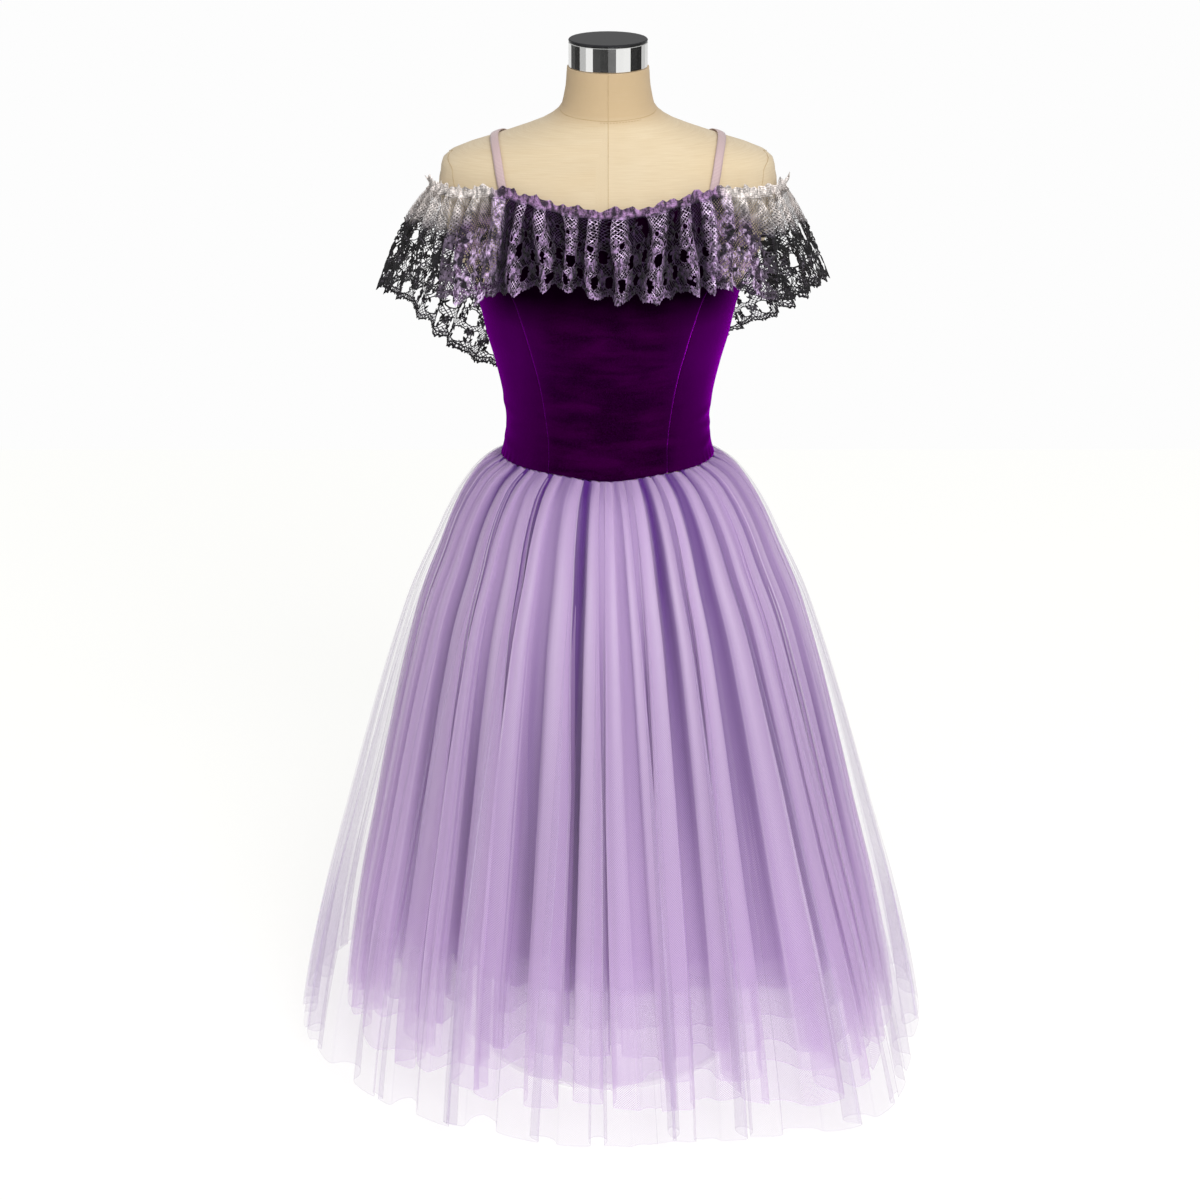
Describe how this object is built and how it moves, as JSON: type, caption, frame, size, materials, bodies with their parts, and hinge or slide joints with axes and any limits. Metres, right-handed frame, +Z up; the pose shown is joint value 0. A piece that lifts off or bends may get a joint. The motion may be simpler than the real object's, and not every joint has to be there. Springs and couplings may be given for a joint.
{
  "type": "ballet tutu on a dress form",
  "caption": "Long ballet tutu with velvet bodice, thin straps, off-shoulder lace flounce and layered tulle skirt, worn by a limbless dress form that stands on a pole and a round base.",
  "frame": {"origin": "middle of the stand's underside, on the floor", "axes": "+Z up; the front of the dress faces -Y; +X is the wearer's left"},
  "size_m": [0.7758, 0.6869, 1.2491],
  "materials": {
    "velvet": "velvet pile",
    "strap_elastic": "satin elastic",
    "lace": "gathered floral lace",
    "tulle_outer": "sheer net",
    "tulle_middle": "sheer net",
    "tulle_inner": "dense net",
    "lining": "opaque lining",
    "linen": "linen cover",
    "chrome": "polished",
    "cap_dark": "satin",
    "stand_white": "matt"
  },
  "bodies": {
    "root": {"bodice_front_centre": "velvet", "bodice_side_front_left": "velvet", "bodice_side_front_right": "velvet", "bodice_back_left": "velvet", "bodice_back_right": "velvet", "strap_left": "strap_elastic", "strap_right": "strap_elastic", "lace_flounce_front": "lace", "lace_flounce_back": "lace", "skirt_tulle_outer": "tulle_outer", "skirt_tulle_middle": "tulle_middle", "skirt_tulle_inner": "tulle_inner", "skirt_lining": "lining", "form_torso": "linen", "form_neck_cap_band": "chrome", "form_neck_cap_top": "cap_dark", "form_pole": "stand_white", "form_base": "stand_white"}
  },
  "joints": []
}
